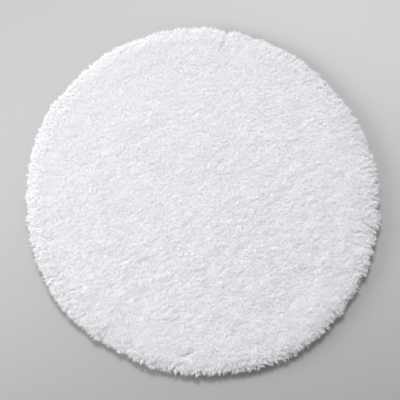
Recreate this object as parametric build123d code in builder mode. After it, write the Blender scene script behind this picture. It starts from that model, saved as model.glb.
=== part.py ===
from build123d import *
import math
import os

# Hook-and-loop plush polishing pad, in millimetres.
# Z = 0 is the tip of the fastening loops on the back, where the pad meets its backer plate.
# +Z points out of the polishing face. The pad's axis is the Z axis.

# Driving dimensions
pad_radius = 78.0          # over the tips of the pile that splays out round the rim
pile_height = 3.6          # pile standing on the face, leaning a little under its own spring
core_radius = 72.0
core_thickness = 2.3
ground_thickness = 0.5     # knitted cloth that the pile is locked into
web_thickness = 0.15       # hot-melt web between two laminated layers
loop_height = 1.2
tricot_thickness = 0.35
backing_radius = 71.0
hem_width = 5.0            # ground cloth turned in under the core
rebate_gap = 0.2           # between the hem's cut edge and the step of the core's rebate
web_margin = 1.0           # the face web stops this far short of where the cloth bends down

# Lockstitch seam that holds the turned hem, the core and the backing together
seam_radius = 68.5
stitch_count = 144
thread_diameter = 0.3
bar_diameter = 0.24        # the thread is drawn thinner where it lies pulled tight between holes
bar_end_gap = 0.05         # bars stop this far from the middle of a leg, inside it
needle_hole_radius = 0.16
drill_overrun = 0.5        # each needle hole is cut this far past both faces of its layer
seam_groove_width = 0.6    # pile and loops part on each side of the thread
seam_groove_depth = 0.4

# Splay of the rim pile
pile_root_angle = -60.0    # lowest pile row on the rounded edge, below the horizontal
pile_low_radius = 74.6
pile_low_z = 1.0
pile_bulge_radius = 77.2
pile_bulge_z = 2.5
pile_widest_z = 4.8
shoulder_radius = 72.0     # where the flat face begins to round over

# Heights of the layers, from the back to the face
tricot_bottom = loop_height
tricot_top = tricot_bottom + tricot_thickness
hem_top = tricot_top + ground_thickness
core_bottom = tricot_top + web_thickness
core_top = core_bottom + core_thickness
ground_bottom = core_top + web_thickness
ground_top = ground_bottom + ground_thickness
pile_top = ground_top + pile_height
lock_z = (core_bottom + core_top) / 2     # where needle and bobbin threads cross

# The edge of the ground cloth is a half circle round the rim of the core
edge_z = (tricot_top + ground_top) / 2
edge_outer = (ground_top - tricot_top) / 2
edge_inner = edge_outer - ground_thickness
edge_center = core_radius - edge_inner
hem_inner = edge_center - hem_width
core_edge = (core_top - hem_top) / 2
core_edge_z = (core_top + hem_top) / 2
core_step = hem_inner - rebate_gap
web_radius = edge_center - web_margin

groove_inner = seam_radius - seam_groove_width / 2
groove_outer = seam_radius + seam_groove_width / 2

os.makedirs("parts", exist_ok=True)


def finish(piece, name):
    """Labels a finished piece and writes it to its own file."""
    piece.part.label = name
    export_step(piece.part, f"parts/{name}.step")


def pierce(bottom, top):
    """Cuts the ring of needle holes through the part being built, from bottom to top."""
    height = top - bottom
    middle = (top + bottom) / 2
    with Locations((0, 0, middle)):
        with PolarLocations(seam_radius, stitch_count):
            Cylinder(needle_hole_radius, height + 2 * drill_overrun, mode=Mode.SUBTRACT)


# Back: the fastening loops, parted by the seam into a disc and a narrow rim ring
with BuildPart() as backing_loops:
    with BuildSketch():
        Circle(backing_radius)
        Circle(groove_outer, mode=Mode.SUBTRACT)
        Circle(groove_inner)
    extrude(amount=loop_height)
finish(backing_loops, "backing_loops")


# Warp-knit tricot that carries the loops
with BuildPart() as backing_tricot:
    with BuildSketch(Plane.XY.offset(tricot_bottom)):
        Circle(backing_radius)
    extrude(amount=tricot_thickness)
    pierce(tricot_bottom, tricot_top)
finish(backing_tricot, "backing_tricot")


# Hot-melt web that bonds the core to the tricot, inside the hem
with BuildPart() as back_adhesive:
    with BuildSketch(Plane.XY.offset(tricot_top)):
        Circle(core_step)
    extrude(amount=web_thickness)
finish(back_adhesive, "back_adhesive")


# Needled felt core, with a rebate underneath that takes the turned hem
with BuildPart() as felt_core:
    with BuildSketch(Plane.XZ):
        with BuildLine():
            Polyline(
                (edge_center, hem_top),
                (core_step, hem_top),
                (core_step, core_bottom),
                (0, core_bottom),
                (0, core_top),
                (edge_center, core_top),
            )
            ThreePointArc(
                (edge_center, core_top),
                (edge_center + core_edge, core_edge_z),
                (edge_center, hem_top),
            )
        make_face()
    revolve(axis=Axis.Z)
    pierce(core_bottom, core_top)
finish(felt_core, "felt_core")


# Hot-melt web that bonds the pile fabric to the core
with BuildPart() as face_adhesive:
    with BuildSketch(Plane.XY.offset(core_top)):
        Circle(web_radius)
    extrude(amount=web_thickness)
    pierce(core_top, ground_bottom)
finish(face_adhesive, "face_adhesive")


# Knitted ground of the pile fabric, drawn over the edge of the core and turned in
with BuildPart() as ground_knit:
    with BuildSketch(Plane.XZ):
        with BuildLine():
            Polyline(
                (edge_center, ground_bottom),
                (0, ground_bottom),
                (0, ground_top),
                (edge_center, ground_top),
            )
            ThreePointArc(
                (edge_center, ground_top),
                (edge_center + edge_outer, edge_z),
                (edge_center, tricot_top),
            )
            Polyline(
                (edge_center, tricot_top),
                (hem_inner, tricot_top),
                (hem_inner, hem_top),
                (edge_center, hem_top),
            )
            ThreePointArc(
                (edge_center, hem_top),
                (edge_center + edge_inner, edge_z),
                (edge_center, ground_bottom),
            )
        make_face()
    revolve(axis=Axis.Z)
    pierce(tricot_top, ground_top)
finish(ground_knit, "ground_knit")


# Plush pile: stands on the face, splays out round the rim and tucks in under it
pile_root = Vector(edge_center, edge_z) + Vector(edge_outer, 0).rotate(Axis.Z, pile_root_angle)
groove_top = ground_top + seam_groove_depth
with BuildPart() as pile:
    with BuildSketch(Plane.XZ):
        with BuildLine():
            Polyline(
                (0, pile_top),
                (0, ground_top),
                (groove_inner, ground_top),
                (groove_inner, groove_top),
                (groove_outer, groove_top),
                (groove_outer, ground_top),
                (edge_center, ground_top),
            )
            CenterArc((edge_center, edge_z), edge_outer, 90, pile_root_angle - 90)
            Line((pile_root.X, pile_root.Y), (pile_low_radius, pile_low_z))
            ThreePointArc(
                (pile_low_radius, pile_low_z),
                (pile_bulge_radius, pile_bulge_z),
                (pad_radius, pile_widest_z),
            )
            EllipticalCenterArc(
                (shoulder_radius, pile_widest_z),
                pad_radius - shoulder_radius,
                pile_top - pile_widest_z,
                start_angle=0,
                arc_size=90,
            )
            Line((shoulder_radius, pile_top), (0, pile_top))
        make_face()
    revolve(axis=Axis.Z)
finish(pile, "pile")


def thread_seam(bar_z, side):
    """One continuous thread: a bar from each needle hole to the next, and a leg down each hole."""
    pitch = 2 * seam_radius * math.sin(math.pi / stitch_count)
    bar_distance = seam_radius * math.cos(math.pi / stitch_count)
    half_turn = 180 / stitch_count
    leg_end = bar_z + side * thread_diameter / 2
    with BuildPart() as seam:
        with Locations((0, 0, (lock_z + leg_end) / 2)):
            with PolarLocations(seam_radius, stitch_count):
                Cylinder(thread_diameter / 2, abs(leg_end - lock_z))
        with Locations((0, 0, bar_z)):
            with PolarLocations(bar_distance, stitch_count, start_angle=half_turn):
                Cylinder(bar_diameter / 2, pitch - 2 * bar_end_gap, rotation=(90, 0, 0))
    return seam


# Needle thread, sunk in the pile on the face
needle_thread = thread_seam(ground_top + thread_diameter / 2, 1)
finish(needle_thread, "needle_thread")

# Bobbin thread, sunk in the loops on the back
bobbin_thread = thread_seam(tricot_bottom - thread_diameter / 2, -1)
finish(bobbin_thread, "bobbin_thread")
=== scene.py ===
import math
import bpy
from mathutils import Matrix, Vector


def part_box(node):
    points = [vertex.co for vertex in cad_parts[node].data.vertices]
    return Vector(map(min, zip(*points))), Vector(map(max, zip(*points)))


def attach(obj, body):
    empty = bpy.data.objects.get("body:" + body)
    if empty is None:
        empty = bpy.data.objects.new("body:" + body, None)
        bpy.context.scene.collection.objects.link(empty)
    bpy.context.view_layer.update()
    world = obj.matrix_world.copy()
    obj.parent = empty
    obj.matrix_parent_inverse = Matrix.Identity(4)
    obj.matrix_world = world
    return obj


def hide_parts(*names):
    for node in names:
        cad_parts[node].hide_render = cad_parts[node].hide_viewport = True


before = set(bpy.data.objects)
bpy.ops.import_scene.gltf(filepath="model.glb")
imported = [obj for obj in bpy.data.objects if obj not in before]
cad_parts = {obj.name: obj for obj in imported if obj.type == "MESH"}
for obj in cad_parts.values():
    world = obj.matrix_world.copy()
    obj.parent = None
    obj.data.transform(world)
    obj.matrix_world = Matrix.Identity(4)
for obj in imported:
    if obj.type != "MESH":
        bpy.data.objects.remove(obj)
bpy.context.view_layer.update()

from types import SimpleNamespace

import bpy
import numpy as np
from mathutils import Vector

# A plush polishing pad: curly pile on a knitted ground, wrapped over a felt core, with a
# hook-and-loop back. Lengths in this script are millimetres until MM turns them to metres.

MM = 0.001
UV_NAME = "OFBake"         # one small cell per tuft or loop, so that colours bake without overlap
CELL_MARGIN = 0.08         # left free on each side of a cell, as a share of it
# Corners of the triangles that close a tube, in its cell
CAP_CORNERS = np.array([[0.0, 0.0], [0.3, 0.0], [0.3, 0.04]])
UP = np.array([0.0, 0.0, 1.0])


def box_mm(node):
    """Lowest and highest corner of a CAD node, in millimetres."""
    low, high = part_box(node)
    return np.array(low) / MM, np.array(high) / MM


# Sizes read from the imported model
pile_high = box_mm("pile")[1]
ground_low, ground_high = box_mm("ground_knit")
core_low, core_high = box_mm("felt_core")
tricot_low, tricot_high = box_mm("backing_tricot")
loops_low, loops_high = box_mm("backing_loops")
needle_high = box_mm("needle_thread")[1]

# Ground cloth: flat, round the core's edge in a half circle, then turned in as a hem
GROUND_THICKNESS = 0.5
GROUND_TOP = ground_high[2]
GROUND_BOTTOM = ground_low[2]
EDGE_R = (GROUND_TOP - GROUND_BOTTOM) / 2
EDGE_CENTER = ground_high[0] - EDGE_R
EDGE_Z = (GROUND_TOP + GROUND_BOTTOM) / 2
HEM_INNER = EDGE_CENTER - 5.0
REBATE_GAP = 0.2           # between the hem's cut edge and the step of the core's rebate
SEGMENTS_PER_STITCH = 4    # round a disc

# Seam
THREAD = 0.30              # diameter of the sewing thread
TWIST_LENGTH = 0.9         # of its two plies
STITCHES = 144
SEAM_R = needle_high[0] - THREAD / 2
SEAM_DIMPLE = 1.2          # reach of the dimple at a needle hole
LOCK_Z = (core_low[2] + core_high[2]) / 2       # where needle and bobbin threads cross
NEEDLE_Z = GROUND_TOP + THREAD / 2
BOBBIN_Z = tricot_low[2] - THREAD / 2

# Outline of the pile in section: flat face, elliptical shoulder, then in under the rim
PAD_R = pile_high[0]
FACE_Z = pile_high[2]
SHOULDER_R = PAD_R - 6.0
WIDEST_Z = 4.8
UNDER_Z = 1.3              # height of the control point of the curve under the rim
LOW_R, LOW_Z = 74.6, 1.0
PRESSED_BELOW = 1.2        # the surface under the pad presses up pile that would hang below this
FLOOR_GAP = 0.25           # and keeps it this far clear

# The edge of the cloth is not a true circle: waves round it as (number, height, phase) ...
WAVES = [
    (2, 0.6, math.radians(72)),
    (3, 0.14, 1.0),
    (4, 0.2, 2.1),
    (7, 0.18, 0.4),
    (9, 0.18, 4.0),
]
# ... and single bulges and dents as (direction, width, height), in degrees and millimetres
LOBES = [
    (12, 28, 0.8),
    (45, 9, -0.7),
    (60, 8, -0.5),
    (180, 11, -0.5),
    (161, 10, 0.3),
    (-60, 12, 0.4),
    (119, 8, 0.6),
    (138, 7, -0.9),
    (-113, 18, -1.9),
    (-81, 4, -0.7),
]
# Puckers where the pile is caught, as (direction, radius, length, width, heading, strength, parts).
# The nap parts along a pucker, or leans to one side of it where parts is False
PUCKERS = [
    (-95.4, 67.6, 6.2, 0.8, 20, 1.0, True),
    (-116.5, 71.0, 5.0, 1.6, 25, 0.4, False),
    (82, 70.0, 6.0, 0.9, 60, 0.5, True),
    (35, 42.0, 5.0, 0.9, 120, 0.35, True),
]
SIDE_LEAN = -2.6           # of the nap over a pucker that doesn't part, where one that does has 1
PUCKER_DEPTH = 1.8         # at strength 1, of the tufts
BODY_PUCKER_DEPTH = 2.5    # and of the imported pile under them

# Where tufts stand
TUFT_PITCH = 1.12
TUFT_JITTER = 0.2 * TUFT_PITCH
RINGS_FROM = 65.0          # outside this radius the tufts stand in rings that go round the rim
RING_PITCH = 0.92          # between those rings
RING_TUFTS = int(2 * math.pi * (SHOULDER_R + 4.0) / (TUFT_PITCH * 0.88))
RING_JITTER = 0.15         # in pitches along a ring, and in millimetres across it
SPREAD_FROM = 62.0         # tufts outside this radius spread apart towards their tips
SPREAD_POWER = 1.6         # they spread slowly at first
LAST_ROW_ANGLE = math.radians(150)      # normal of the lowest pile row, from straight up
ROOT_DEPTH = 0.25          # roots are set this deep in the ground cloth
SHORT_SHARE = 0.05         # of tufts stand short where the nap is open, as small pits
SHORT_TUFT = 0.6           # by this much
TIP_NOISE = 0.05           # spread of the tips' heights
OPEN_NOISE = 0.08          # spread added where the nap is open
RIM_NOISE = 0.22           # spread added at the rim
RIM_RISE = 0.08            # the rim's tips stand this much further out
RIM_LUMPS = 0.22           # and in lumps of this height
SEAM_DIP = 0.08            # the seam draws the pile's surface in by this
SEAM_VALLEY = 1.4          # over about this far on each side
PATCHES = (5, 4)

# How they lean, as slopes
GRAIN_ANGLE = math.radians(27)
NAP_LEAN = 0.24            # all of them along the grain
CLUMP_LEAN = 0.155         # clumps of them together
OPEN_LEAN = 0.04           # and by this more where the nap is open
OWN_LEAN = 0.6             # each on its own, as a share of its clump's
PARTING_LEAN = 0.4         # away from the middle of a pucker
SEAM_LEAN = 0.06           # away from the seam
RIM_STIFFNESS = 0.3        # tufts of the rim lean by this share less
TIP_SHIFT = 0.8            # of a tuft's height, at a slope of 1
END_LEAN = 0.6             # share of the lean in the way a tuft ends
RIM_LIFT = 0.3             # the rim's tufts end turned up by this slope

# A tuft is a bundle of yarn fibres that splay and curl over at the tip
FIBRES = 12
FIBRE_R = 0.09
FIBRE_TAPER = np.array([1.0, 1.0, 0.6])
FIBRE_SIDES = 3
SPIRAL = 2.4               # radians from one fibre to the next round the tuft's middle line
SPLAY = 0.42               # how far a tuft's outer fibres stand from its middle where they curl over
LOOSE_DEPTH = 1.3          # fibres part from their tuft this far below its tip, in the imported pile
LOOSE_LENGTH = 1.15        # then run up this far, and turn over at the end
FACE_END, RIM_END = 0.46, 0.42          # length of the end that turns over
FACE_CURL, RIM_CURL = 96, 78            # how far it turns over, in degrees
FIRST_BEND = 0.18          # share of that turn in the part below
CURL_LIMIT = 0.4           # the turn varies by no more than this share
OUTER_SHORT = 0.10         # a tuft's outer fibres are shorter by this share
RIM_SPLAY_LESS = 0.2       # share that the rim's tufts splay less by

# How much fibres differ, as the spread of a normal distribution
SPOT_SPREAD = 0.1          # share of the distance from the tuft's middle
TURN_SPREAD = 0.3          # direction round the middle line, in radians
LENGTH_SPREAD = 0.04       # share of the length, and more where the nap is open and at the rim
BEND_SPREAD = 0.18         # share of the curl
WAY_SPREAD = 0.8           # direction of the curl, in radians
SWEEP_SPREAD = 0.9         # how far it swings round towards the end, in radians
RADIUS_SPREAD = 0.12       # share of the radius

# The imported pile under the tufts
BODY_DEPTH = 0.95          # below their tips
BODY_SEGMENTS = 480
PINHOLE_R = 0.03           # left on the axis, so that no face there has no area
CLEARANCE = 0.02           # over the ground cloth

# Shading of the pile
PILE_SOFTNESS = 0.62       # share of the pile's own surface direction in each fibre's shading
RIM_SLOPE = 0.08           # slope in the shading of the rim, whose loose tufts let light through
SHADE_LEAN = 0.35          # share of a tuft's lean in its shading
FIBRE_HEIGHTS = np.array([0.6, 0.85, 1.0])      # colour height along a fibre, 0 root to 1 tip; lower heights carry more painted shade
PAST_RIM_PAINTED_SHADE = 0.7       # painted shade: the colour height is lower by this share under the rim
PUCKER_PAINTED_SHADE = 0.9         # and in a pucker, as painted shade in its crease
BODY_HEIGHT = 0.75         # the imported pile's colour height
BODY_TINT = 0.5            # and its place between the darkest and the lightest tufts

# Colours
WHITE = (1.0, 1.0, 1.0)
# Painted shade: the root colour is darker and cooler than the tips, for the depth of the pile
ROOT_COLOR = (0.84, 0.83, 0.865)
MID_COLOR = (0.955, 0.9545, 0.96)
TIP_COLOR = (0.968, 0.969, 0.969)
DARKEST_TUFT = (0.965, 0.962, 0.972)
DARKEST_FIBRE = (0.985, 0.984, 0.988)
# Painted shade: the packed pile between the tufts is darkened in colour
PACKED_PILE_PAINTED_SHADE = (0.77, 0.76, 0.79)
# Painted light and shade: the floor's tone runs between these by place
FLOOR_NEAR, FLOOR_FAR = (0.312, 0.312, 0.313), (0.532, 0.532, 0.534)


# ---------------------------------------------------------------- smooth noise

def smooth_noise(seed, x, y, cell):
    """Value noise on a plane, about -1 to 1, with lumps about one cell wide."""
    size = 128             # cells before it repeats
    table = np.random.default_rng(seed).uniform(-1, 1, (size, size))
    u, v = x / cell + 61.3, y / cell + 57.7
    i, j = np.floor(u).astype(int), np.floor(v).astype(int)
    fu, fv = u - i, v - j
    fu, fv = fu * fu * (3 - 2 * fu), fv * fv * (3 - 2 * fv)
    i0, i1, j0, j1 = i % size, (i + 1) % size, j % size, (j + 1) % size
    low = table[i0, j0] * (1 - fu) + table[i1, j0] * fu
    high = table[i0, j1] * (1 - fu) + table[i1, j1] * fu
    return 1.6 * (low * (1 - fv) + high * fv)


def grain_noise(seed, x, y, along, across):
    """Smooth noise stretched along the grain of the nap."""
    c, s = math.cos(GRAIN_ANGLE), math.sin(GRAIN_ANGLE)
    return smooth_noise(seed, (x * c + y * s) * across / along, -x * s + y * c, across)


def smoothstep(a, b, x):
    """0 below a, 1 above b, and a smooth rise between."""
    t = np.clip((x - a) / (b - a), 0, 1)
    return t * t * (3 - 2 * t)


# ---------------------------------------------------------------- meshes from arrays

def unit(v):
    return v / np.maximum(np.linalg.norm(v, axis=-1, keepdims=True), 1e-12)


def mesh_piece(name, points, faces, uv, attributes=None, normals=None):
    """A mesh object from arrays, in millimetres, with its bake map, point attributes and normals.

    faces is a list of arrays of one kind of face each, and uv their corners in the bake map."""
    mesh = bpy.data.meshes.new(name)
    mesh.vertices.add(len(points))
    mesh.vertices.foreach_set("co", (points * MM).astype(np.float32).ravel())
    corner = np.concatenate([kind.ravel() for kind in faces]).astype(np.int32)
    sizes = np.concatenate([np.full(len(kind), kind.shape[1]) for kind in faces]).astype(np.int32)
    starts = np.concatenate([[0], np.cumsum(sizes)[:-1]]).astype(np.int32)
    mesh.loops.add(len(corner))
    mesh.loops.foreach_set("vertex_index", corner)
    mesh.polygons.add(len(sizes))
    mesh.polygons.foreach_set("loop_start", starts)
    mesh.polygons.foreach_set("use_smooth", np.ones(len(sizes), bool))
    mesh.update(calc_edges=True)
    layer = mesh.uv_layers.new(name=UV_NAME)
    corner_uv = np.concatenate([kind.reshape(-1, 2) for kind in uv])
    layer.uv.foreach_set("vector", corner_uv.astype(np.float32).ravel())
    for key, values in (attributes or {}).items():
        data = mesh.attributes.new(key, "FLOAT", "POINT")
        data.data.foreach_set("value", values.astype(np.float32).ravel())
    if normals is not None:
        data = mesh.attributes.new("custom_normal", "FLOAT_VECTOR", "POINT")
        data.data.foreach_set("vector", unit(normals).astype(np.float32).ravel())
    piece = bpy.data.objects.new(name, mesh)
    bpy.context.scene.collection.objects.link(piece)
    return piece


def dress(piece, material, node):
    """Gives a piece its material, hides the CAD part that it stands in for, and puts it on the root body.
    """
    piece.data.materials.append(material)
    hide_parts(node)
    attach(piece, "root")


def carried_frames(paths):
    """Two unit vectors across each path at each point, carried along it without twisting."""
    along = unit(np.gradient(paths, axis=1))
    across = np.zeros_like(paths)
    start = np.cross(along[:, 0], np.array([0.31, 0.87, 0.38]))
    across[:, 0] = unit(start)
    for k in range(1, paths.shape[1]):
        moved = across[:, k - 1]
        moved = moved - (moved * along[:, k]).sum(-1, keepdims=True) * along[:, k]
        across[:, k] = unit(moved)
    return across, np.cross(along, across)


def tube_faces(count, steps, sides):
    """Faces of many closed tubes: four-sided round them, and a fan of triangles over each end."""
    tube, step, side = np.meshgrid(
        np.arange(count), np.arange(steps - 1), np.arange(sides), indexing="ij"
    )
    ahead = (side + 1) % sides
    base = tube * steps * sides
    quads = np.stack(
        [
            base + step * sides + side,
            base + step * sides + ahead,
            base + (step + 1) * sides + ahead,
            base + (step + 1) * sides + side,
        ],
        axis=-1,
    ).reshape(-1, 4)
    fan = np.arange(1, sides - 1)
    ends = np.arange(count)[:, None] * steps * sides
    last = ends + (steps - 1) * sides
    near = np.stack([ends + 0 * fan, ends + fan + 1, ends + fan], axis=-1)
    far = np.stack([last + 0 * fan, last + fan, last + fan + 1], axis=-1)
    return quads, np.concatenate([near.reshape(-1, 3), far.reshape(-1, 3)])


def tube_uv(count, steps, sides):
    """Bake map of those faces: one cell per tube."""
    tube, step, side = np.meshgrid(
        np.arange(count), np.arange(steps - 1), np.arange(sides), indexing="ij"
    )
    cells = math.ceil(math.sqrt(count))
    corner_u = np.stack([side, side + 1, side + 1, side], axis=-1) / sides
    corner_v = np.stack([step, step, step + 1, step + 1], axis=-1) / (steps - 1)
    cell_u, cell_v = (tube % cells)[..., None], (tube // cells)[..., None]
    width = 1 - 2 * CELL_MARGIN
    quad_uv = np.stack(
        [
            (cell_u + CELL_MARGIN + width * corner_u) / cells,
            (cell_v + CELL_MARGIN + width * corner_v) / cells,
        ],
        axis=-1,
    )
    corner = np.stack([np.arange(count) % cells, np.arange(count) // cells], axis=-1)
    tri_uv = (corner[:, None, None, :] + CELL_MARGIN + CAP_CORNERS) / cells
    tri_uv = np.repeat(tri_uv, sides - 2, axis=1)
    return quad_uv, np.concatenate([tri_uv, tri_uv])


def tube_piece(name, paths, radii, sides, attributes=None, facing=None):
    """Many closed tubes as one mesh: paths is (tubes, points, 3) and radii is (tubes, points).

    facing, one vector per tube, draws the tubes' normals towards the surface they make together."""
    count, steps, _ = paths.shape
    first, second = carried_frames(paths)
    turn = np.arange(sides) * 2 * math.pi / sides
    ring = (
        first[:, :, None, :] * np.cos(turn)[None, None, :, None]
        + second[:, :, None, :] * np.sin(turn)[None, None, :, None]
    )
    points = paths[:, :, None, :] + radii[:, :, None, None] * ring
    point_values = {
        key: np.repeat(values, sides, axis=1) for key, values in (attributes or {}).items()
    }
    normals = None
    if facing is not None:
        normals = (1 - PILE_SOFTNESS) * ring + PILE_SOFTNESS * facing[:, None, None, :]
        normals = normals.reshape(-1, 3)
    return mesh_piece(
        name, points.reshape(-1, 3), tube_faces(count, steps, sides), tube_uv(count, steps, sides),
        point_values, normals,
    )


def turned(section, angle):
    """Turns (r, z) pairs to points or directions at an angle about the axis."""
    reach, z = section[..., 0], section[..., 1]
    return np.stack([reach * np.cos(angle), reach * np.sin(angle), z], axis=-1)


def turned_piece(name, profile, segments, shape, facing=None):
    """A closed (r, z) profile turned about the axis; shape(points) moves the result.

    facing, one (r, z) direction per profile point, gives its normals."""
    profile = np.array(profile, float)
    count = len(profile)
    angle = np.arange(segments) * 2 * math.pi / segments
    around = np.repeat(angle, count)
    points = shape(turned(np.tile(profile, (segments, 1)), around))
    turn, step = np.meshgrid(np.arange(segments), np.arange(count), indexing="ij")
    turn2, step2 = (turn + 1) % segments, (step + 1) % count
    quads = np.stack(
        [
            turn * count + step,
            turn * count + step2,
            turn2 * count + step2,
            turn2 * count + step,
        ],
        axis=-1,
    ).reshape(-1, 4)
    corner_u = np.stack([turn, turn, turn + 1, turn + 1], axis=-1) / segments
    corner_v = np.stack([step, step + 1, step + 1, step], axis=-1) / count
    quad_uv = np.stack([corner_u, corner_v], axis=-1)
    normals = None
    if facing is not None:
        normals = turned(np.tile(facing, (segments, 1)), around)
    return mesh_piece(name, points, [quads], [quad_uv], None, normals)


# ---------------------------------------------------------------- materials

def new_material(name):
    material = bpy.data.materials.new(name)
    material.use_nodes = True
    nodes = material.node_tree.nodes
    return material, nodes, material.node_tree.links, nodes["Principled BSDF"]


def noise_node(nodes, links, coords, scale, detail=3.0):
    node = nodes.new("ShaderNodeTexNoise")
    node.inputs["Scale"].default_value = scale
    node.inputs["Detail"].default_value = detail
    links.new(coords, node.inputs["Vector"])
    return node.outputs["Fac"]


def ramp_node(nodes, links, value, stops):
    """A colour ramp through (position, colour) stops."""
    node = nodes.new("ShaderNodeValToRGB")
    ramp = node.color_ramp
    ramp.elements[0].position, ramp.elements[0].color = stops[0][0], (*stops[0][1], 1)
    ramp.elements[1].position, ramp.elements[1].color = stops[-1][0], (*stops[-1][1], 1)
    for place, color in stops[1:-1]:
        ramp.elements.new(place).color = (*color, 1)
    links.new(value, node.inputs["Fac"])
    return node.outputs["Color"]


def mix_node(nodes, links, factor, first, second, blend="MIX"):
    """A colour mix; each colour is another node's output or a plain (r, g, b)."""
    node = nodes.new("ShaderNodeMix")
    node.data_type, node.blend_type = "RGBA", blend
    node.inputs[0].default_value = factor
    for value, key in ((first, 6), (second, 7)):
        if isinstance(value, tuple):
            node.inputs[key].default_value = (*value, 1)
        else:
            links.new(value, node.inputs[key])
    return node.outputs[2]


def bump_node(nodes, links, height, strength, distance):
    node = nodes.new("ShaderNodeBump")
    node.inputs["Strength"].default_value = strength
    node.inputs["Distance"].default_value = distance
    links.new(height, node.inputs["Height"])
    return node.outputs["Normal"]


def range_node(nodes, links, value, low, high):
    node = nodes.new("ShaderNodeMapRange")
    node.inputs["To Min"].default_value = low
    node.inputs["To Max"].default_value = high
    links.new(value, node.inputs["Value"])
    return node.outputs["Result"]


def attribute_node(nodes, key):
    node = nodes.new("ShaderNodeAttribute")
    node.attribute_name = key
    return node.outputs["Fac"]


def wave_node(nodes, links, coords, direction, scale, distortion):
    node = nodes.new("ShaderNodeTexWave")
    node.wave_type, node.bands_direction = "BANDS", direction
    node.inputs["Scale"].default_value = scale
    node.inputs["Distortion"].default_value = distortion
    node.inputs["Detail"].default_value = 2
    links.new(coords, node.inputs["Vector"])
    return node.outputs["Color"]


def finish_shader(nodes, links, shader, color, rough, relief, specular):
    """Connects a colour, roughness from (pattern, low, high) and bump from (pattern, strength, depth)."""
    links.new(color, shader.inputs["Base Color"])
    links.new(range_node(nodes, links, *rough), shader.inputs["Roughness"])
    links.new(bump_node(nodes, links, *relief), shader.inputs["Normal"])
    shader.inputs["Specular IOR Level"].default_value = specular


def pile_material(name, shade=WHITE):
    """White plush yarn, a little different from tuft to tuft, with painted shade: darker and cooler
    towards the root, and darker again by shade where that is given.
    """
    material, nodes, links, shader = new_material(name)
    coords = nodes.new("ShaderNodeTexCoord").outputs["Object"]
    # Painted shade: the colour runs from the dark, cool root colour up to the white tips
    body = ramp_node(
        nodes, links, attribute_node(nodes, "height"),
        [(0.0, ROOT_COLOR), (0.55, MID_COLOR), (0.95, TIP_COLOR)],
    )
    tone = ramp_node(
        nodes, links, attribute_node(nodes, "tint"), [(0.0, DARKEST_TUFT), (1.0, WHITE)]
    )
    fibre = noise_node(nodes, links, coords, 2600, 2)
    streak = ramp_node(nodes, links, fibre, [(0.3, DARKEST_FIBRE), (0.7, WHITE)])
    for factor in (tone, shade, streak):
        body = mix_node(nodes, links, 1.0, body, factor, "MULTIPLY")
    rough, relief = (fibre, 0.6, 0.85), (fibre, 0.35, 0.0001)
    finish_shader(nodes, links, shader, body, rough, relief, 0.25)
    return material


def knit_material(name, color, shade, wale):
    """Fine knitted cloth: ribs one wale apart with a slight irregularity, wale in millimetres."""
    material, nodes, links, shader = new_material(name)
    coords = nodes.new("ShaderNodeTexCoord").outputs["Object"]
    scale = 0.314 / (wale * MM)
    ribs = wave_node(nodes, links, coords, "X", scale / 2, 1.2)
    courses = wave_node(nodes, links, coords, "Y", scale / 1.6, 1.5)
    weave = mix_node(nodes, links, 0.5, ribs, courses)
    lumpy = noise_node(nodes, links, coords, 260)
    base = ramp_node(nodes, links, weave, [(0.15, shade), (0.85, color)])
    worn = ramp_node(nodes, links, lumpy, [(0.3, (0.93, 0.93, 0.94)), (0.7, WHITE)])
    toned = mix_node(nodes, links, 1.0, base, worn, "MULTIPLY")
    rough, relief = (lumpy, 0.75, 0.95), (weave, 0.6, 0.0002)
    finish_shader(nodes, links, shader, toned, rough, relief, 0.2)
    return material


def fibre_material(name, color, shade, scale, bump=0.5):
    """Matted or spun fibre: two scales of noise in colour, roughness and bump."""
    material, nodes, links, shader = new_material(name)
    coords = nodes.new("ShaderNodeTexCoord").outputs["Object"]
    coarse = noise_node(nodes, links, coords, scale)
    fine = noise_node(nodes, links, coords, scale * 6, 4)
    base = ramp_node(nodes, links, coarse, [(0.3, shade), (0.7, color)])
    matted = ramp_node(nodes, links, fine, [(0.35, (0.92, 0.92, 0.93)), (0.65, WHITE)])
    toned = mix_node(nodes, links, 1.0, base, matted, "MULTIPLY")
    rough, relief = (fine, 0.7, 0.95), (fine, bump, 0.0001)
    finish_shader(nodes, links, shader, toned, rough, relief, 0.2)
    return material


# ---------------------------------------------------------------- the pile's outline

def outline(angle):
    """How far the edge of the pile stands out past its mean circle, in millimetres."""
    out = sum(height * np.cos(number * angle + phase) for number, height, phase in WAVES)
    for direction, width, height in LOBES:
        away = np.degrees(np.angle(np.exp(1j * (angle - math.radians(direction)))))
        out += height * np.exp(-((away / width) ** 2))
    return out


def outline_share(reach):
    """Share of that which a place follows: none on the face, all of it at the rim."""
    return smoothstep(SHOULDER_R - 3, PAD_R - 2, reach)


def rim_share(run):
    """How far a place belongs to the rim, 1, rather than the face, 0."""
    return smoothstep(SHOULDER_R - 3, PAD_R - 1, run)


def upturn(facing_z):
    """Share of upward direction in the rim's shading: none where the pile faces down."""
    return smoothstep(-0.8, 0.1, facing_z)


def pile_section():
    """Outer outline of the pile in section, as a run length and (r, z) points from the axis out."""
    turn = np.radians(np.linspace(90, 0, 33))
    wide, tall = PAD_R - SHOULDER_R, FACE_Z - WIDEST_Z
    shoulder = np.stack([SHOULDER_R + wide * np.cos(turn), WIDEST_Z + tall * np.sin(turn)], axis=-1)
    t = np.linspace(0, 1, 17)[1:, None]
    start, pull = np.array([PAD_R, WIDEST_Z]), np.array([PAD_R, UNDER_Z])
    end = np.array([LOW_R, LOW_Z])
    under = (1 - t) ** 2 * start + 2 * t * (1 - t) * pull + t ** 2 * end
    points = np.concatenate([[[0.0, FACE_Z]], [[SHOULDER_R / 2, FACE_Z]], shoulder, under])
    steps = np.linalg.norm(np.diff(points, axis=0), axis=-1)
    return np.concatenate([[0.0], np.cumsum(steps)]), points


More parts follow.
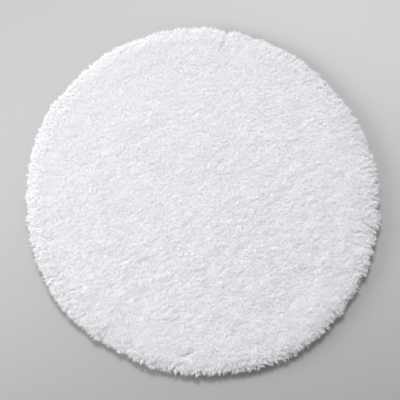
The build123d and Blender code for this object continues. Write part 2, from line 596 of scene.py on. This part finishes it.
def on_section(run):
    """Point (r, z) and outward normal of the pile's outline at each run length."""
    lengths, points = pile_section()
    reach = 0.4            # half the length that the normal is taken over

    def place(at):
        return np.stack([np.interp(at, lengths, points[:, k]) for k in (0, 1)], axis=-1)

    way = unit(place(np.minimum(run + reach, lengths[-1])) - place(run - reach))
    return place(run), np.stack([-way[..., 1], way[..., 0]], axis=-1)


def above_floor(z):
    """Pile that would reach the surface the pad lies on is pressed up just clear of it."""
    room = PRESSED_BELOW - FLOOR_GAP
    return np.where(z < PRESSED_BELOW, PRESSED_BELOW - room * np.tanh((PRESSED_BELOW - z) / room), z)


# ---------------------------------------------------------------- unevenness of the nap

def pucker(x, y):
    """How strongly each place lies in a pucker, and the way the pile parts there."""
    total, parting = np.zeros_like(x), np.zeros((len(x), 3))
    for direction, radius, run, width, heading, strength, parts in PUCKERS:
        a, h = math.radians(direction), math.radians(heading)
        dx, dy = x - radius * math.cos(a), y - radius * math.sin(a)
        along = dx * math.cos(h) + dy * math.sin(h)
        over = -dx * math.sin(h) + dy * math.cos(h)
        near = strength * np.exp(-((2 * along / run) ** 4)) * np.exp(-((over / width) ** 2))
        total += near
        turn = np.sign(over) if parts else SIDE_LEAN
        parting += np.array([-math.sin(h), math.cos(h), 0.0]) * (turn * near)[:, None]
    return total, parting


def open_nap(x, y):
    """The nap lies close at the upper left of the pad, 0, and opens towards the lower right, 1."""
    return smoothstep(-60, 45, 0.35 * x - 0.94 * y)


def lumps(x, y):
    """Soft unevenness of the pile's surface: long lumps along the nap, and small ones."""
    height = 0.22 * grain_noise(31, x, y, 12, 6) + 0.12 * grain_noise(32, x, y, 4.0, 1.8)
    height = height + 0.1 * smooth_noise(35, x, y, 3.2)
    return height * (0.8 + 0.45 * open_nap(x, y))


def seam_pull(reach, angle):
    """How much the seam draws the pile in, unevenly round the pad."""
    uneven = 0.6 + 0.4 * smooth_noise(41, SEAM_R * angle, 0 * angle, 9.0)
    return np.exp(-(((reach - SEAM_R) / SEAM_VALLEY) ** 2)) * uneven


def clumps(x, y):
    """The way tufts stick together in clumps, as a slope along x and y."""
    slopes = [
        grain_noise(seed, x, y, 5.0, 2.2) + 0.7 * grain_noise(seed + 1, x, y, 2.8, 1.4)
        for seed in (21, 23)
    ]
    return np.stack([*slopes, np.zeros_like(x)], axis=-1)


# ---------------------------------------------------------------- the pile

def staggered_grid(half, pitch):
    """Points of rows that are offset by half a pitch from each other, over a square."""
    rows = np.arange(-half, half, pitch * math.sqrt(3) / 2)
    places = []
    for k, y in enumerate(rows):
        x = np.arange(-half, half, pitch) + (k % 2) * pitch / 2
        places.append(np.stack([x, np.full_like(x, y)], axis=-1))
    return np.concatenate(places)


def tuft_places(rng):
    """Places of the tufts' tips: run along the pile's outline from the axis, and direction."""
    face = staggered_grid(RINGS_FROM, TUFT_PITCH)
    face += rng.normal(0, TUFT_JITTER, face.shape)
    reach = np.hypot(face[:, 0], face[:, 1])
    face, reach = face[reach < RINGS_FROM], reach[reach < RINGS_FROM]
    runs, angles = [reach], [np.arctan2(face[:, 1], face[:, 0])]
    first, last = RINGS_FROM + RING_PITCH / 2, pile_section()[0][-1]
    for k, row in enumerate(np.arange(first, last, RING_PITCH)):
        step = np.arange(RING_TUFTS) + k % 2 / 2
        step = step + rng.normal(0, RING_JITTER, RING_TUFTS)
        angles.append(step * 2 * math.pi / RING_TUFTS)
        runs.append(row + rng.normal(0, RING_JITTER, RING_TUFTS))
    return np.concatenate(runs), np.concatenate(angles)


def grow_tufts(rng):
    """Each tuft's root and tip, the ways it sets out and ends, how it is shaded, and where it is."""
    run, angle = tuft_places(rng)
    count = len(run)
    out = np.stack([np.cos(angle), np.sin(angle), np.zeros(count)], axis=-1)

    # Tips lie on the pile's outline. It is longer than the ground, so the tufts fan out to it
    place, face = on_section(run)
    tip, facing = turned(place, angle), turned(face, angle)
    end = pile_section()[0][-1]
    fan = np.clip((run - SPREAD_FROM) / (end - SPREAD_FROM), 0, 1) ** SPREAD_POWER
    s = run - fan * (end - EDGE_CENTER - EDGE_R * LAST_ROW_ANGLE)

    # Roots: the ground's section is flat, then bends round its edge
    bend = np.clip((s - EDGE_CENTER) / EDGE_R, 0, LAST_ROW_ANGLE)
    reach = np.minimum(s, EDGE_CENTER) + EDGE_R * np.sin(bend)
    rooted = out * np.sin(bend)[:, None] + UP * np.cos(bend)[:, None]
    root = out * reach[:, None] + UP * (EDGE_Z + EDGE_R * np.cos(bend))[:, None]
    root = root - rooted * ROOT_DEPTH
    x, y = root[:, 0], root[:, 1]
    edge, loose, crease, parting = rim_share(run), open_nap(x, y), *pucker(x, y)
    pull = seam_pull(reach, angle) * (s < EDGE_CENTER)

    # How far each tip stands above or below the outline
    share = SHORT_SHARE * loose * (1 - edge)
    rise = lumps(x, y) + rng.normal(0, TIP_NOISE + OPEN_NOISE * loose + RIM_NOISE * edge)
    rise -= SHORT_TUFT * (np.random.default_rng(12).random(count) < share) + SEAM_DIP * pull
    rise += edge * (RIM_RISE + RIM_LUMPS * smooth_noise(34, PAD_R * angle, 1.5 * run, 2.0))
    tip += facing * rise[:, None] + out * (outline(angle) * outline_share(run))[:, None]

    # Lean: the nap, clumps of tufts, each tuft's own, partings and the seam
    grain = np.array([math.cos(GRAIN_ANGLE), math.sin(GRAIN_ANGLE), 0.0])
    own = clumps(x, y) + rng.normal(0, OWN_LEAN, (count, 3))
    lean = NAP_LEAN * grain + (CLUMP_LEAN + OPEN_LEAN * loose)[:, None] * own
    lean = lean * (1 - RIM_STIFFNESS * edge)[:, None] + PARTING_LEAN * parting
    lean -= facing * (lean * facing).sum(-1, keepdims=True)
    lean += out * (SEAM_LEAN * np.sign(reach - SEAM_R) * pull)[:, None]
    stand = np.linalg.norm(tip - root, axis=-1, keepdims=True)
    tip += stand * TIP_SHIFT * lean - facing * (PUCKER_DEPTH * crease)[:, None]
    ends = unit(facing + END_LEAN * lean + UP * (RIM_LIFT * edge)[:, None])

    lift = (edge * upturn(facing[:, 2]))[:, None]
    slope = RIM_SLOPE * smoothstep(PAD_R - 15, PAD_R - 6, run)[:, None]
    shaded = unit(facing * (1 - lift) + UP * lift + out * slope + SHADE_LEAN * lean)
    return SimpleNamespace(
        root=root, tip=tip, rooted=rooted, ends=ends, shaded=shaded,
        run=run, edge=edge, loose=loose, crease=crease,
    )


def below_tip(tufts, depth, own):
    """Points this deep on the tufts' middle lines, each a smooth curve from its root to its tip.

    own is each fibre's length as a share of its tuft's."""
    stand = np.linalg.norm(tufts.tip - tufts.root, axis=-1, keepdims=True)
    root, tip, rooted, ends = (
        v[:, None, :] for v in (tufts.root, tufts.tip, tufts.rooted, tufts.ends)
    )
    t = np.clip((1 - depth / stand) * own, 0, 1)[..., None]
    bow = stand[:, None, :] * ((t ** 3 - 2 * t ** 2 + t) * rooted + (t ** 3 - t ** 2) * ends)
    return (2 * t ** 3 - 3 * t ** 2 + 1) * root + (3 * t ** 2 - 2 * t ** 3) * tip + bow


def curl_fibres(rng, tufts):
    """Paths and radii of every fibre, and their height and tint values, tuft by tuft."""
    edge = tufts.edge[:, None]
    count = len(edge)
    each = (count, FIBRES)
    number = np.arange(FIBRES)
    spot = np.sqrt((number + 0.5) / FIBRES)[None, :] * (1 + rng.normal(0, SPOT_SPREAD, each))
    turn = number * SPIRAL + rng.uniform(0, 2 * math.pi, count)[:, None]
    turn = turn + rng.normal(0, TURN_SPREAD, each)
    ends = tufts.ends[:, None, :]
    first = unit(np.cross(ends, np.array([0.42, -0.36, 0.83])))
    second = np.cross(ends, first)

    def sideways(heading):
        return np.cos(heading)[..., None] * first + np.sin(heading)[..., None] * second

    uneven = 0.8 + 0.7 * tufts.loose[:, None] + edge
    own = 1 - OUTER_SHORT * spot ** 2 + rng.normal(0, LENGTH_SPREAD, each) * uneven

    # They splay from the tuft's middle line, run up, then curl over at the tip
    splay = SPLAY * spot * (1 - RIM_SPLAY_LESS * edge)
    points = [below_tip(tufts, LOOSE_DEPTH, own) + sideways(turn) * splay[..., None]]
    bend = np.radians(FACE_CURL + (RIM_CURL - FACE_CURL) * edge)
    bend = bend * (1 + np.clip(rng.normal(0, BEND_SPREAD, each), -CURL_LIMIT, CURL_LIMIT))
    way = turn + rng.normal(0, WAY_SPREAD, each)
    sweep = rng.normal(0, SWEEP_SPREAD, each)
    end = FACE_END + (RIM_END - FACE_END) * edge
    for length, fall, heading in (
        (LOOSE_LENGTH, bend * FIRST_BEND, way), (end, bend, way + sweep)
    ):
        step = np.cos(fall)[..., None] * ends + np.sin(fall)[..., None] * sideways(heading)
        points.append(points[-1] + (length * own)[..., None] * step)
    paths = np.stack(points, axis=2)
    paths[..., 2] = above_floor(paths[..., 2])
    radii = FIBRE_R * (1 + rng.normal(0, RADIUS_SPREAD, each))[..., None] * FIBRE_TAPER

    # Painted shade: fibres under the rim and in puckers take the darker root colour
    past_rim = smoothstep(PAD_R, PAD_R + 3, tufts.run)
    tall = FIBRE_HEIGHTS * (1 - PAST_RIM_PAINTED_SHADE * past_rim)[:, None, None]
    tall = np.broadcast_to(tall * (1 - PUCKER_PAINTED_SHADE * tufts.crease)[:, None, None], radii.shape)
    tint = 0.5 * rng.uniform(0, 1, count)[:, None, None] + 0.5 * rng.uniform(0, 1, each)[..., None]
    return paths, radii, tall, np.broadcast_to(tint, radii.shape)


def equal_groups(x, y, columns, rows):
    """Splits the points into columns of equal number by x, and each column into rows by y."""
    parts = []
    for column in np.array_split(np.argsort(x, kind="stable"), columns):
        order = column[np.argsort(y[column], kind="stable")]
        parts += np.array_split(order, rows)
    return parts


def build_tufts():
    """The tufts, in patches of equal number."""
    material = pile_material("pile_yarn")
    rng = np.random.default_rng(11)
    tufts = grow_tufts(rng)
    paths, radii, tall, tint = curl_fibres(rng, tufts)
    facing = np.broadcast_to(tufts.shaded[:, None, :], paths[:, :, 0].shape)
    steps = paths.shape[2]
    for k, part in enumerate(equal_groups(paths[:, 0, 0, 0], paths[:, 0, 0, 1], *PATCHES)):
        piece = tube_piece(
            f"pile_patch_{k + 1:02d}",
            paths[part].reshape(-1, steps, 3),
            radii[part].reshape(-1, steps),
            FIBRE_SIDES,
            {"height": tall[part].reshape(-1, steps), "tint": tint[part].reshape(-1, steps)},
            facing[part].reshape(-1, 3),
        )
        dress(piece, material, "pile")


def build_pile_body():
    """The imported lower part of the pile, which closes the gaps between the tufts."""
    run = np.concatenate([
        [PINHOLE_R],
        np.arange(0.7, SHOULDER_R - 4, 0.7),
        np.linspace(SHOULDER_R - 4, pile_section()[0][-1], 36),
    ])
    place, face = on_section(run)
    top = place - BODY_DEPTH * face
    rounds = np.radians(np.linspace(-60, 90, 12))
    clear = EDGE_R + CLEARANCE
    ground = [(EDGE_CENTER + clear * math.cos(a), EDGE_Z + clear * math.sin(a)) for a in rounds]
    flat = [(r, GROUND_TOP + CLEARANCE) for r in (EDGE_CENTER - 4, 30.0, PINHOLE_R)]
    profile = [tuple(p) for p in top] + ground + flat

    def swell(points):
        x, y = points[:, 0].copy(), points[:, 1].copy()
        reach, angle = np.hypot(x, y), np.arctan2(y, x)
        outer = points[:, 2] > GROUND_TOP + 0.1
        grow = outline(angle) * outline_share(reach + BODY_DEPTH)
        points[:, 0] += np.cos(angle) * grow
        points[:, 1] += np.sin(angle) * grow
        lift = lumps(x, y) + 0.10 * smooth_noise(33, x, y, 1.3) - SEAM_DIP * seam_pull(reach, angle)
        points[:, 2] += (lift - BODY_PUCKER_DEPTH * pucker(x, y)[0]) * outer
        return points

    lift = (rim_share(run) * upturn(face[:, 1]))[:, None]
    lifted = unit(face * (1 - lift) + np.array([RIM_SLOPE, 1.0]) * lift)
    inward = [(-math.cos(a), -math.sin(a)) for a in rounds]
    facing = np.concatenate([lifted, inward, [(0, -1)] * len(flat)])
    piece = turned_piece("pile_body", profile, BODY_SEGMENTS, swell, facing)
    for key, value in (("height", BODY_HEIGHT), ("tint", BODY_TINT)):
        data = piece.data.attributes.new(key, "FLOAT", "POINT")
        data.data.foreach_set("value", np.full(len(piece.data.vertices), value, np.float32))
    # The packed pile's darker colour is painted shade between the tufts
    dress(piece, pile_material("packed_pile_painted_shade", PACKED_PILE_PAINTED_SHADE), "pile")


# ---------------------------------------------------------------- cloth, core and backing

def rings(outer):
    """Radii for a disc: a pinhole, few in the middle, many near the seam and the edge."""
    return np.concatenate([[0.01], np.linspace(6, 60, 10), np.linspace(63, outer, 14)])


def seam_dimple(points, depth):
    """How far the seam draws a layer in, most at its needle holes."""
    reach = np.hypot(points[:, 0], points[:, 1])
    angle = np.arctan2(points[:, 1], points[:, 0])
    near = np.exp(-(((reach - SEAM_R) / SEAM_DIMPLE) ** 2))
    return depth * near * (0.5 + 0.5 * np.cos(STITCHES * angle))


def edge_arc(radius, z, count):
    """Points of a half circle round the core's edge, from its top to its bottom."""
    turn = np.radians(np.linspace(90, -90, count))
    return [(EDGE_CENTER + radius * math.cos(a), z + radius * math.sin(a)) for a in turn]


def build_core():
    """Needled felt disc, with a rebate under its edge that takes the turned hem."""
    hem_top = GROUND_BOTTOM + GROUND_THICKNESS
    top, bottom = core_high[2], core_low[2]
    edge = (top - hem_top) / 2
    step = HEM_INNER - REBATE_GAP
    radii = rings(EDGE_CENTER - 0.5)
    profile = [(r, top) for r in radii] + edge_arc(edge, hem_top + edge, 9)
    profile += [(r, hem_top) for r in np.linspace(EDGE_CENTER - 1.0, step, 5)]
    profile += [(r * step / radii[-1], bottom) for r in radii[::-1]]

    def matted(points):
        lift = 0.02 * smooth_noise(51, points[:, 0], points[:, 1], 1.4)
        points[:, 2] += lift - seam_dimple(points, 0.1) * (points[:, 2] > EDGE_Z)
        return points

    piece = turned_piece("felt_disc", profile, SEGMENTS_PER_STITCH * STITCHES, matted)
    felt = fibre_material("needled_felt", (0.74, 0.72, 0.68), (0.6, 0.58, 0.54), 900)
    dress(piece, felt, "felt_core")


def build_tricot():
    """Warp-knit cloth that carries the fastening loops."""
    top, bottom = tricot_high[2], tricot_low[2]
    middle = (top + bottom) / 2
    outer = tricot_high[0]
    radii = rings(outer - 0.1)
    profile = [(r, top) for r in radii] + [(outer, middle)] + [(r, bottom) for r in radii[::-1]]

    def drawn_in(points):
        points[:, 2] += seam_dimple(points, 0.1) * (points[:, 2] < middle)
        return points

    piece = turned_piece("tricot_cloth", profile, SEGMENTS_PER_STITCH * STITCHES, drawn_in)
    yarn = knit_material("tricot_yarn", (0.82, 0.82, 0.83), (0.62, 0.62, 0.64), 0.8)
    dress(piece, yarn, "backing_tricot")


def build_ground():
    """Knitted ground of the pile fabric, drawn over the core and turned in under its edge."""
    inner = EDGE_R - GROUND_THICKNESS
    radii = rings(EDGE_CENTER - 0.5)
    hem = np.linspace(EDGE_CENTER - 0.8, HEM_INNER, 6)
    profile = [(r, GROUND_TOP) for r in radii] + edge_arc(EDGE_R, EDGE_Z, 13)
    profile += [(r, GROUND_BOTTOM) for r in hem]
    profile += [(r, GROUND_BOTTOM + GROUND_THICKNESS) for r in hem[::-1]]
    profile += edge_arc(inner, EDGE_Z, 13)[::-1]
    profile += [(r, GROUND_TOP - GROUND_THICKNESS) for r in radii[::-1]]

    def dip(points):
        points[:, 2] -= seam_dimple(points, 0.12) * (points[:, 2] > EDGE_Z)
        return points

    piece = turned_piece("ground_cloth", profile, SEGMENTS_PER_STITCH * STITCHES, dip)
    yarn = knit_material("ground_knit_yarn", (0.84, 0.83, 0.87), (0.62, 0.6, 0.66), 1.1)
    dress(piece, yarn, "ground_knit")


def build_loops():
    """Brushed loops of the hook-and-loop back, two filaments to a loop."""
    rng = np.random.default_rng(61)
    pitch, width, filaments, steps = 1.4, 0.66, 2, 6
    radius, sunk = 0.075, 0.05
    edge = loops_high[0] - 0.5
    place = staggered_grid(edge, pitch)
    place += rng.normal(0, 0.1 * pitch, place.shape)
    reach = np.hypot(place[:, 0], place[:, 1])
    place = place[(reach < edge) & (np.abs(reach - SEAM_R) > 0.55)]
    count = len(place)
    total = count * filaments
    place = np.repeat(place, filaments, axis=0) + rng.normal(0, 0.12, (total, 2))
    heading = np.repeat(rng.normal(math.pi / 2, 0.9, count), filaments)
    heading = heading + rng.normal(0, 0.35, total)
    lean = np.repeat(rng.normal(0, 0.22, (count, 2)), filaments, axis=0)
    lean += rng.normal(0, 0.12, lean.shape)
    depth = (loops_high[2] - loops_low[2] - radius) * rng.uniform(0.78, 1.0, total)
    turn = np.linspace(0.06, 0.94, steps) * math.pi
    along = -0.5 * width * np.cos(turn) * (1 + 0.35 * np.sin(turn))
    drop = np.sin(turn) ** 0.8
    paths = np.zeros((total, steps, 3))
    for axis, part in ((0, np.cos(heading)), (1, np.sin(heading))):
        paths[..., axis] = place[:, axis, None] + part[:, None] * along + lean[:, axis, None] * drop
    paths[..., 2] = loops_high[2] + sunk - (depth[:, None] + sunk) * drop
    radii = np.full(paths.shape[:2], radius)
    material = fibre_material("loop_filament", (0.86, 0.86, 0.87), (0.74, 0.74, 0.76), 2200, 0.3)
    for k, part in enumerate(equal_groups(place[:, 0], place[:, 1], 2, 2)):
        piece = tube_piece(f"loop_patch_{k + 1}", paths[part], radii[part], 3)
        dress(piece, material, "backing_loops")


def seam_thread(name, node, bar_z, side):
    """Two-ply thread: from hole to hole at bar_z, and through each hole to the lock and back."""
    pitch = 2 * math.pi * SEAM_R / STITCHES
    inset, arch = 0.09, 0.05 * side
    half = [
        (0.0, LOCK_Z - 0.10 * side),
        (inset, LOCK_Z),
        (inset, (LOCK_Z + bar_z) / 2),
        (inset + 0.04, bar_z - 0.12 * side),
        (0.45, bar_z + 0.6 * arch),
        (pitch / 2, bar_z + arch),
    ]
    stitch = half + [(pitch - along, z) for along, z in half[-2:0:-1]]
    turns = np.repeat(np.arange(STITCHES), len(stitch))
    along = turns * pitch + np.tile([p[0] for p in stitch], STITCHES)
    z = np.tile([p[1] for p in stitch], STITCHES)
    fine, coarse = np.linspace(0, len(z) - 1, 2 * len(z)), np.arange(len(z))
    angle, z = np.interp(fine, coarse, along) / SEAM_R, np.interp(fine, coarse, z)
    middle = np.stack([SEAM_R * np.cos(angle), SEAM_R * np.sin(angle), z], axis=-1)[None]
    first, second = carried_frames(middle)
    steps = np.linalg.norm(np.diff(middle[0], axis=0), axis=-1)
    run = np.concatenate([[0], np.cumsum(steps)])
    ply_r = THREAD / 4
    plies = []
    for start in (0, math.pi):
        twist = (start + 2 * math.pi * run / TWIST_LENGTH)[None, :, None]
        plies.append(middle + ply_r * (np.cos(twist) * first + np.sin(twist) * second))
    paths = np.concatenate(plies)
    piece = tube_piece(name, paths, np.full(paths.shape[:2], ply_r), 5)
    yarn = fibre_material(name + "_yarn", (0.88, 0.87, 0.88), (0.78, 0.77, 0.79), 3000, 0.3)
    dress(piece, yarn, node)


def finish_webs():
    """The hot-melt webs stay as their CAD solids, with a material of their own."""
    material = fibre_material("hot_melt_web", (0.78, 0.78, 0.76), (0.66, 0.66, 0.64), 700)
    for node in ("face_adhesive", "back_adhesive"):
        mesh = bpy.data.objects[node].data
        mesh.materials.clear()
        mesh.materials.append(material)


build_tufts()
build_pile_body()
build_core()
build_tricot()
build_ground()
build_loops()
seam_thread("needle_stitches", "needle_thread", NEEDLE_Z, 1)
seam_thread("bobbin_stitches", "bobbin_thread", BOBBIN_Z, -1)
finish_webs()


# ---------------------------------------------------------------- floor, light, camera, in metres

def area_light(name, azimuth, elevation, distance, size, power, color):
    """A round soft box aimed at the pad; azimuth is from +X towards +Y, in degrees."""
    data = bpy.data.lights.new(name, "AREA")
    data.shape, data.size, data.energy, data.color = "DISK", size, power, color
    lamp = bpy.data.objects.new(name, data)
    bpy.context.scene.collection.objects.link(lamp)
    a, e = math.radians(azimuth), math.radians(elevation)
    place = Vector((math.cos(a) * math.cos(e), math.sin(a) * math.cos(e), math.sin(e))) * distance
    lamp.location = place
    lamp.rotation_euler = (-place).to_track_quat("-Z", "Y").to_euler()


def floor_material():
    """Pale paper, with painted light and shade in its tone: darker towards -X and -Y."""
    material, nodes, links, shader = new_material("floor_paper")
    split = nodes.new("ShaderNodeSeparateXYZ")
    links.new(nodes.new("ShaderNodeTexCoord").outputs["Object"], split.inputs[0])
    x, y = split.outputs["X"], split.outputs["Y"]

    def multiply_add(value, by, plus):
        node = nodes.new("ShaderNodeMath")
        node.operation = "MULTIPLY_ADD"
        for entry, key in ((value, 0), (by, 1), (plus, 2)):
            if isinstance(entry, float):
                node.inputs[key].default_value = entry
            else:
                links.new(entry, node.inputs[key])
        return node.outputs[0]

    # Tone over the paper: (130 x - 15) y y + (21 x + 3.4) y + 0.22 x + 0.65
    fall = multiply_add(y, multiply_add(x, 130.0, -15.0), multiply_add(x, 21.0, 3.4))
    tone = multiply_add(y, fall, multiply_add(x, 0.22, 0.65))
    color = ramp_node(nodes, links, tone, [(0.0, FLOOR_NEAR), (1.0, FLOOR_FAR)])
    links.new(color, shader.inputs["Base Color"])
    shader.inputs["Roughness"].default_value = 0.8
    shader.inputs["Specular IOR Level"].default_value = 0.2
    return material


def build_stage():
    """The floor, two soft lights and an even room."""
    floor = bpy.data.meshes.new("floor")
    half = 3.0
    corners = [(-half, -half, 0), (half, -half, 0), (half, half, 0), (-half, half, 0)]
    floor.from_pydata(corners, [], [(0, 1, 2, 3)])
    piece = bpy.data.objects.new("floor", floor)
    bpy.context.scene.collection.objects.link(piece)
    floor.materials.append(floor_material())

    area_light("left_box", 178, 37, 0.56, 0.33, 1.47, WHITE)
    area_light("back_lamp", 97, 64, 1.1, 0.22, 7.4, (0.985, 0.975, 1.0))
    world = bpy.data.worlds.new("room")
    world.use_nodes = True
    background = world.node_tree.nodes["Background"]
    background.inputs["Color"].default_value = (0.93, 0.93, 0.945, 1)
    background.inputs["Strength"].default_value = 0.488
    bpy.context.scene.world = world


def build_camera():
    """The camera looks down at the photograph's angle, from beyond the pad's near edge."""
    data = bpy.data.cameras.new("camera")
    camera = bpy.data.objects.new("camera", data)
    bpy.context.scene.collection.objects.link(camera)
    distance, elevation = 0.8, math.radians(84)
    target = Vector((-0.0004, 0.0006, 0.004))
    back = Vector((0, -math.cos(elevation), math.sin(elevation)))
    camera.location = target + back * distance
    camera.rotation_mode = "QUATERNION"
    camera.rotation_quaternion = (-back).to_track_quat("-Z", "Y")
    view_width = 0.1785
    data.lens = data.sensor_width * distance / view_width
    bpy.context.scene.camera = camera


build_stage()
build_camera()
scene = bpy.context.scene
scene.view_settings.view_transform = "Standard"
# White fibres light each other, so light has to go on from one to the next many times
scene.cycles.max_bounces = 24
scene.cycles.diffuse_bounces = 24
